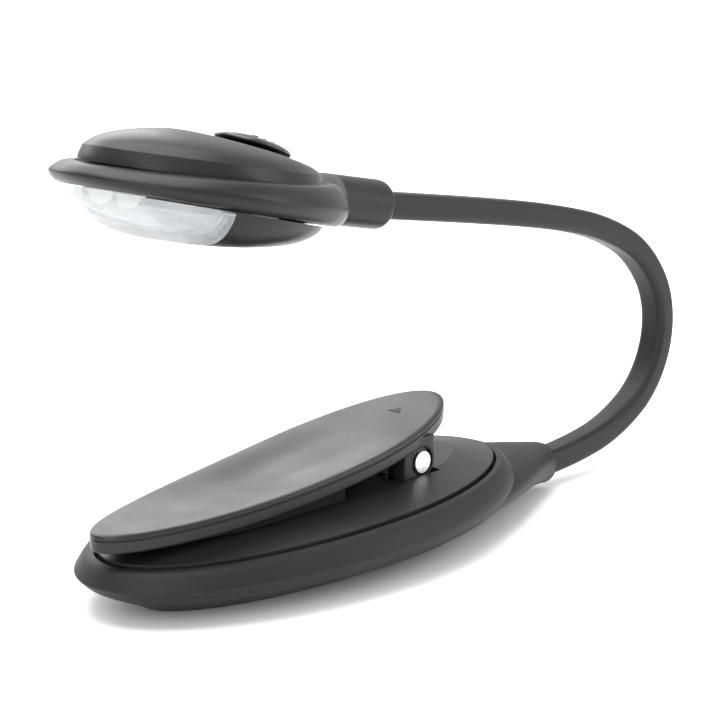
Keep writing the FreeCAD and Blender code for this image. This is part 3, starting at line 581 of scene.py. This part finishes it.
def slope_place(x, above):
    """Placement on the sloped rear face of the top cover."""
    turn = Matrix.Rotation(SLOPE, 4, "Y")
    spot = Vector((x, 0, slope_z(x))) + turn @ Vector((0, 0, above))
    return Matrix.Translation(spot) @ turn


def settle(point):
    """Lowers a point of the dome to the sloped face, with a soft crease, and sinks the dish."""
    plane = slope_z(point.x)
    point.z = (point.z + plane - math.hypot(point.z - plane, CREASE_EASE)) / 2
    radius = math.hypot((point.x - DISH_X) / DISH_LONG, point.y / DISH_WIDE)
    if radius < 1 and point.z > plane - 0.6:
        point.z -= DISH_DEEP * (1 - radius ** 2) ** 0.8
    return point


def make_head():
    """Ring, collar, top cover, knob, lens and battery door of the head."""
    height = HEAD_TOP - HEAD_LOW
    outer = refined(rounded([(2.4, HEAD_LOW, LOW_TILT), (1.0, HEAD_LOW + 0.12, LOW_TILT),
                             (0.1, HEAD_LOW + 0.3 * height, LOW_TILT * 0.6), (0.05, HEAD_LOW + 0.55 * height, 0.0),
                             (1.5, HEAD_TOP - 0.12, TOP_TILT), (3.05, HEAD_TOP, TOP_TILT)], 1.4, 7), 0.6)
    inner = [(3.2, HEAD_TOP - 0.3, TOP_TILT), (4.2, 0.9, 0.0), (4.3, HEAD_LOW, LOW_TILT)]
    ring = loft("head_shell", [head_egg(*level) for level in outer + inner], HEAD, HEAD_PLACE, ring=True)
    start = HEAD_X + 0.5 * HEAD_REAR
    half = HEAD_HALF * math.sqrt(1 - 0.25) - 0.5
    steps = 26
    sections = []
    for step in range(steps + 1):
        t = step / steps
        x = lerp(start, -BARREL_LONG - 0.6, t)
        wide = BARREL_R + (half - BARREL_R) * (1 - t) ** 0.8
        low = lerp(-3.1, -BARREL_R, t) - 0.3 * math.sin(math.pi * t)
        high = lerp(1.8, BARREL_R, smooth(0.05, 0.95, t))
        sections.append(oval(x, wide, (high - low) / 2, (high + low) / 2))
    mouth = rounded([(-BARREL_LONG, BARREL_R), (0.0, BARREL_R), (0.0, 2.3)], 1.1, 8)
    sections += [oval(x, r, r, 0.0) for x, r in refined(mouth, 1.0)]
    collar = loft("head_collar", sections, HEAD, HEAD_PLACE)
    dome = make_dome()
    for piece in (ring, collar, dome):
        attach(piece, "head")
    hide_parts("head_ring")
    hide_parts("head_top_cover")
    make_knob()
    lens = loft("lens_shell", pod_loops(False), LENS, HEAD_PLACE)
    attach(lens, "head")
    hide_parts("lens")
    door = loft("door_shell", pod_loops(True), HEAD, HEAD_PLACE)
    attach(door, "battery_door")
    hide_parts("battery_door")
    make_lens_parts()


def make_dome():
    """Top cover: an upright wall, a crowned cap and the straight rear slope with its dish."""
    low = HEAD_TOP + 0.1
    crease = low + 1.5
    span = PEAK_Z - crease
    cap = [(0.6, crease), (2.0, crease + 0.35 * span), (4.6, crease + 0.65 * span),
           (8.0, crease + 0.87 * span), (11.6, PEAK_Z), (13.4, PEAK_Z)]
    wall = [(0.1, low - 0.5), (0.1, low + 0.1), (0.55, crease - 0.1)]
    profile = refined(rounded(wall + cap, 2.2, 7), 0.4)
    loops = [[settle(point) for point in dome_egg(*level)] for level in profile]
    return loft("top_cover", loops, HEAD, HEAD_PLACE, crease=30.0)


def make_knob():
    """Oval slider with three raised grip bars."""
    levels = [(0.9, 0.05), (0.15, 0.3), (0.1, 0.75), (0.9, 1.2), (2.4, 1.42), (4.6, 1.5)]
    profile = refined(rounded(levels, 0.6, 6), 0.3)
    place = HEAD_PLACE @ slope_place(KNOB_X, KNOB_FLOAT)
    loops = [egg(0, KNOB_LONG - inset, KNOB_LONG - inset, KNOB_WIDE - inset, height) for inset, height in profile]
    knob = loft("knob_shell", loops, GLOSS, place, crease=60.0)
    bars = bmesh.new()
    for step in (-1, 0, 1):
        middle = step * BAR_PITCH
        add_box(bars, (middle - BAR_HALF, -BAR_REACH, 1.3), (middle + BAR_HALF, BAR_REACH, 1.6), 0.12)
    grips = finished("knob_bars", bars, GLOSS, place)
    stem = bmesh.new()
    add_box(stem, (-1.2, -0.8, -2.1), (1.2, 0.8, 0.3))
    post = finished("knob_stem", stem, DARK, place)
    for piece in (knob, grips, post):
        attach(piece, "switch_knob")
    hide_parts("switch_knob")


def pod_egg(extra, height, tilt, nose):
    """Outline below the ring; its front is drawn back by nose, which makes the lens's front slope."""
    inset = POD_INSET + extra
    return egg(HEAD_X, HEAD_FRONT - inset - nose, POD_REAR - extra, HEAD_HALF - inset, height, math.radians(tilt),
               HEAD_X)


def pod_loops(door):
    """Outer skin down to the floor, then the inner skin back up: a shell open towards the ring."""
    top = HEAD_LOW - GAP
    levels = [(0.0, -1.0, 0.0), (0.35, -0.5, 0.3), (0.75, 0.6, 0.8), (1.0, 2.4, 1.0)]

    def skin(shrink):
        reach = POD_DEPTH - shrink + top
        eased = refined(rounded(levels + [(1.0, 6.0, 1.0)], 0.9, 6), 0.35)
        loops = []
        for share, extra, lean in eased:
            tilt = lerp(LOW_TILT, POD_TILT, lean)
            nose = NOSE_BACK * smooth(0.15, 1.0, share)
            outline = pod_egg(min(extra, 10.0) + shrink, top - share * reach, tilt, nose)
            loops.append(clip(outline, door, shrink))
        return loops

    outside, inside = skin(0.0), skin(WALL)
    return list(reversed(outside)) + inside


def clip(loop, door, shrink):
    """Flattens an outline against the split between lens and door."""
    limit = LENS_REAR + GAP + shrink if door else LENS_REAR - shrink
    clipped = []
    for point in loop:
        x = max(point.x, limit) if door else min(point.x, limit)
        clipped.append(Vector((x, point.y, point.z)))
    return clipped


def make_lens_parts():
    """Small lamp carriers seen through the lens."""
    for number, side in ((1, -1), (2, 1)):
        place = HEAD_PLACE @ Matrix.Translation((LED_X, side * LED_Y, 0))
        turns = [2 * math.pi * i / 40 for i in range(40)]
        profile = ((2.0, -1.55), (2.15, -1.75), (2.1, -2.3), (1.75, -2.35), (1.7, -1.7))
        loops = [[Vector((r * math.cos(turn), r * math.sin(turn), z)) for turn in turns] for r, z in profile]
        cup = loft(f"led_cup_{number}", loops, WHITE, place)
        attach(cup, "head")


# ---------------------------------------------------------------- carried-over pieces and stage
def dress():
    """Materials for the CAD pieces that stay in view."""
    looks = {"base_tray": SATIN, "base_bottom_cover": SATIN, "clip_pad": RUBBER, "hinge_pin": PIN,
             "torsion_spring": STEEL, "reflector_plate": WHITE, "circuit_board": BOARD, "battery_contact": BRASS,
             "coin_cell_1": CELL, "coin_cell_2": CELL, "led_1": RESIN, "led_2": RESIN, "switch_body": DARK,
             "led_resistor": DARK, "base_ferrule": STEEL, "head_ferrule": STEEL}
    for number in (1, 2, 3):
        looks[f"base_screw_{number}"] = STEEL
    for link in range(1, LINKS + 1):
        looks[f"neck_core_{link:02d}"] = STEEL
    for name, look in looks.items():
        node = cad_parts[name]
        node.data.materials.clear()
        node.data.materials.append(look)
    for name in ("base_tray", "clip_pad"):
        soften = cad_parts[name].modifiers.new("soft_edges", "BEVEL")
        soften.width = 0.25 * MM
        soften.segments = 3
        soften.limit_method = "ANGLE"
        soften.angle_limit = math.radians(28)
        soften.harden_normals = False


def light(name, place, size, power, target=(0.02, 0, 0.02)):
    lamp = bpy.data.lights.new(name, "AREA")
    lamp.shape = "RECTANGLE"
    lamp.size, lamp.size_y = size
    lamp.energy = power
    thing = bpy.data.objects.new(name, lamp)
    thing.location = place
    aim = Vector(target) - Vector(place)
    thing.rotation_euler = aim.to_track_quat("-Z", "Y").to_euler()
    bpy.context.scene.collection.objects.link(thing)
    return thing


def make_stage():
    """Pale floor, soft studio light and the camera."""
    grid = bmesh.new()
    bmesh.ops.create_grid(grid, x_segments=1, y_segments=1, size=3000.0)
    floor_finish = Finish("floor_pale", (0.93, 0.93, 0.93), 0.8)
    cloud = floor_finish.noise(400.0, 1.0)
    floor_finish.tint(cloud.spread(0.3, 0.7), (0.92, 0.92, 0.92), (0.94, 0.94, 0.94))
    floor = finished("floor", grid, floor_finish.material, Matrix.Translation((0, 0, -0.05)))
    light("overhead", (-0.02, 0.05, 0.45), (0.5, 0.4), 3.0)
    light("front_left", (-0.45, -0.25, 0.25), (0.3, 0.4), 1.2)
    light("right", (0.35, -0.35, 0.22), (0.2, 0.4), 0.8)
    light("behind", (0.15, 0.5, 0.3), (0.6, 0.3), 1.5)
    world = bpy.data.worlds.new("studio")
    world.use_nodes = True
    backdrop = next(n for n in world.node_tree.nodes if n.type == "BACKGROUND")
    backdrop.inputs["Color"].default_value = (1, 1, 1, 1)
    backdrop.inputs["Strength"].default_value = 1.0
    bpy.context.scene.world = world
    bpy.context.scene.view_settings.view_transform = "Standard"
    lens = bpy.data.cameras.new("camera")
    lens.lens = 130.0
    lens.sensor_width = 36.0
    lens.clip_start = 0.01
    lens.dof.use_dof = False
    camera = bpy.data.objects.new("camera", lens)
    level = math.cos(VIEW_RISE)
    back = Vector((math.sin(VIEW_TURN) * level, -math.cos(VIEW_TURN) * level, math.sin(VIEW_RISE)))
    camera.location = Vector(VIEW_AT) + back * VIEW_AWAY
    camera.rotation_euler = (-back).to_track_quat("-Z", "Y").to_euler()
    bpy.context.scene.collection.objects.link(camera)
    bpy.context.scene.camera = camera


make_ring()
make_arm()
make_neck()
make_head()
dress()
make_stage()
